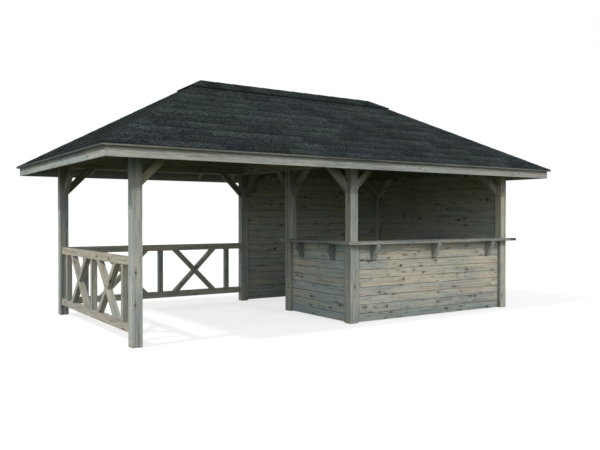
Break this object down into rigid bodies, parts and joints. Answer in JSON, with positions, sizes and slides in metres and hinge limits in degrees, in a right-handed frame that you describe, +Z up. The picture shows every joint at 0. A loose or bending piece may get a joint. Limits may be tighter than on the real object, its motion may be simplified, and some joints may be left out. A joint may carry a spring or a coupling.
{
  "type": "garden pavilion",
  "caption": "Open timber garden pavilion with a hipped shingle roof on knee-braced posts, crossed railings on one half and a boarded bar with a counter on the other.",
  "frame": {"origin": "centre of the plan at ground level, under the middle of the ridge", "axes": "+X along the front towards the bar, +Y from the front to the back, +Z up"},
  "size_m": [7.038, 4.046, 3.3266],
  "materials": {
    "post_wood": "weathered, unpainted",
    "frame_wood": "weathered, unpainted",
    "roof_wood": "rough sawn, unpainted",
    "fascia_wood": "bleached by the sun",
    "wall_wood": "weathered boards",
    "counter_wood": "weathered boards",
    "railing_wood": "weathered, unpainted",
    "roof_felt": "bitumen felt with mineral granules"
  },
  "bodies": {
    "root": {"front_left_post": "post_wood", "front_middle_post": "post_wood", "front_right_post": "post_wood", "back_left_post": "post_wood", "back_middle_post": "post_wood", "back_right_post": "post_wood", "centre_post": "post_wood", "front_beam": "frame_wood", "back_beam": "frame_wood", "left_beam": "frame_wood", "right_beam": "frame_wood", "middle_beam": "frame_wood", "knee_braces_front": "frame_wood", "knee_braces_back": "frame_wood", "knee_braces_ends": "frame_wood", "knee_braces_middle": "frame_wood", "ridge_board": "roof_wood", "hip_rafters": "roof_wood", "common_rafters": "roof_wood", "jack_rafters": "roof_wood", "front_roof_boards": "roof_wood", "back_roof_boards": "roof_wood", "left_roof_boards": "roof_wood", "right_roof_boards": "roof_wood", "front_fascia": "fascia_wood", "back_fascia": "fascia_wood", "left_fascia": "fascia_wood", "right_fascia": "fascia_wood", "front_shingles": "roof_felt", "back_shingles": "roof_felt", "left_shingles": "roof_felt", "right_shingles": "roof_felt", "ridge_cap": "roof_felt", "back_wall": "wall_wood", "right_wall": "wall_wood", "bar_front_wall": "wall_wood", "bar_side_wall": "wall_wood", "wall_battens": "wall_wood", "counter_front": "counter_wood", "counter_side": "counter_wood", "counter_brackets": "counter_wood", "left_railing_rails": "railing_wood", "left_railing_infill": "railing_wood", "back_railing_rails": "railing_wood", "back_railing_infill": "railing_wood"}
  },
  "joints": []
}
